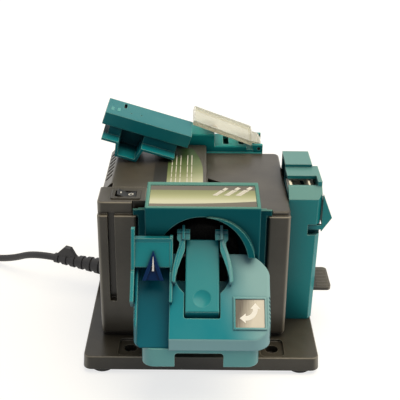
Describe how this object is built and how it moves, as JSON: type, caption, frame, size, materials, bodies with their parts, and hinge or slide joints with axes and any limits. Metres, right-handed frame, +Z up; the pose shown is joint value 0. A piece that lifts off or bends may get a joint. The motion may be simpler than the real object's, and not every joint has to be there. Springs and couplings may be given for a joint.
{
  "type": "tool sharpener",
  "caption": "Bench-top electric tool sharpener with slide-on stations for drill bits, chisels and knives, a rocker switch and a mains lead.",
  "frame": {"origin": "on the table, below the centre of the four bench holes of the base plate, whose bosses end 1 mm above it", "axes": "+X to the right seen from the front, +Y to the back, +Z up"},
  "size_m": [0.4328, 0.3527, 0.1758],
  "materials": {
    "housing_grey": "fine spark-eroded grain",
    "foot_rubber": "matt",
    "steel": "turned or stamped",
    "bearing_steel": "ground",
    "switch_black": "satin",
    "core_iron": "laminated",
    "copper_wire": "enamelled wire",
    "inner_plastic": "moulded",
    "carbon": "pressed",
    "bronze": "sintered",
    "abrasive": "gritty",
    "teal_plastic": "satin grain",
    "dark_blue": "satin",
    "clear_plastic": "clear, slightly yellowed",
    "cord_black": "satin sheath",
    "plated_brass": "plated"
  },
  "bodies": {
    "machine": {"base_plate": "housing_grey", "rubber_feet": "foot_rubber", "body_housing": "housing_grey", "top_cover": "housing_grey", "base_screws": "steel", "switch_body": "switch_black", "motor_stator": "core_iron", "field_coils": "copper_wire", "motor_cradle": "inner_plastic", "brush_holders": "inner_plastic", "carbon_brushes": "carbon", "mid_bearing_bracket": "inner_plastic", "shaft_bearings": "bearing_steel", "spindle_bushes": "bronze", "cord_boot": "cord_black", "mains_cord": "cord_black", "cord_coil": "cord_black", "cord_tie": "cord_black", "plug_body": "cord_black", "plug_pins": "plated_brass"},
    "rotor": {"motor_shaft": "steel", "armature_core": "core_iron", "armature_windings": "copper_wire", "commutator": "copper_wire", "cooling_fan": "inner_plastic", "drive_gear": "steel", "chisel_wheel": "abrasive", "chisel_flanges": "steel", "chisel_nut": "steel"},
    "front_drive": {"front_spindle": "steel", "front_gear": "steel", "drill_wheel": "abrasive", "drill_flanges": "steel", "drill_nut": "steel"},
    "rear_drive": {"rear_spindle": "steel", "rear_gear": "steel", "knife_wheel": "abrasive", "knife_flanges": "steel", "knife_nut": "steel"},
    "rocker": {"switch_rocker": "switch_black"},
    "drill_station": {"drill_frame": "teal_plastic"},
    "turret": {"drill_turret": "teal_plastic", "turret_skirt": "teal_plastic", "setting_gauge": "teal_plastic", "lip_gauge": "dark_blue", "clamp_pin": "steel"},
    "drill_clamp": {"clamp_strip": "teal_plastic"},
    "chisel_station": {"chisel_housing": "teal_plastic", "chisel_guide": "steel", "lever_pin": "steel", "tab_pin": "steel"},
    "side_lever": {"chisel_lever": "teal_plastic"},
    "side_tab": {"press_tab": "housing_grey"},
    "knife_station": {"knife_housing": "teal_plastic", "guard_pin": "steel"},
    "knife_guard": {"clear_guard": "clear_plastic"},
    "loose_guide": {"blade_guide": "teal_plastic", "guide_clip": "teal_plastic"}
  },
  "joints": [
    {"name": "motor_spin", "type": "hinge", "parent": "machine", "child": "rotor", "pos_m": [0, 0.006, 0.1], "axis": [1, 0, 0], "continuous": true},
    {"name": "front_spin", "type": "hinge", "parent": "machine", "child": "front_drive", "pos_m": [0, 0.006, 0.1], "axis": [0, 1, 0], "continuous": true},
    {"name": "rear_spin", "type": "hinge", "parent": "machine", "child": "rear_drive", "pos_m": [0, 0.006, 0.1], "axis": [0, 1, 0], "continuous": true},
    {"name": "rocker_tip", "type": "hinge", "parent": "machine", "child": "rocker", "pos_m": [-0.0599, -0.0396, 0.1323], "axis": [0, -1, 0], "range_deg": [0, 18]},
    {"name": "drill_lift", "type": "slide", "parent": "machine", "child": "drill_station", "axis": [0, 0, 1], "range_m": [0, 0.112]},
    {"name": "turret_swing", "type": "hinge", "parent": "drill_station", "child": "turret", "pos_m": [0, -0.095, 0.109], "axis": [0, 1, 0], "range_deg": [0, 25]},
    {"name": "clamp_press", "type": "hinge", "parent": "turret", "child": "drill_clamp", "pos_m": [0, -0.09413, 0.11064], "axis": [1, 0, 0], "range_deg": [0, 8], "stiffness_Nm_per_rad": 0.6, "springref_deg": -8.59},
    {"name": "chisel_lift", "type": "slide", "parent": "machine", "child": "chisel_station", "axis": [0, 0, 1], "range_m": [0, 0.112]},
    {"name": "lever_swing", "type": "hinge", "parent": "chisel_station", "child": "side_lever", "pos_m": [0.08, -0.0256, 0.101], "axis": [0, 1, 0], "range_deg": [0, 8], "stiffness_Nm_per_rad": 0.3, "springref_deg": -11.46},
    {"name": "tab_press", "type": "hinge", "parent": "chisel_station", "child": "side_tab", "pos_m": [0.087, -0.0035, 0.04], "axis": [0, 1, 0], "range_deg": [0, 10], "stiffness_Nm_per_rad": 0.5, "springref_deg": -8.59},
    {"name": "knife_lift", "type": "slide", "parent": "machine", "child": "knife_station", "axis": [0, 0, 1], "range_m": [0, 0.112]},
    {"name": "guard_hinge", "type": "hinge", "parent": "knife_station", "child": "knife_guard", "pos_m": [0.051, 0.09, 0.1301], "axis": [0, 1, 0], "range_deg": [0, 75]},
    {"name": "guide_lift", "type": "slide", "parent": "knife_station", "child": "loose_guide", "axis": [0, 0, 1], "range_m": [0, 0.06]}
  ],
  "couplings": [
    {"joint": "front_spin", "follows": "motor_spin", "ratio": -1},
    {"joint": "rear_spin", "follows": "motor_spin", "ratio": 1}
  ]
}
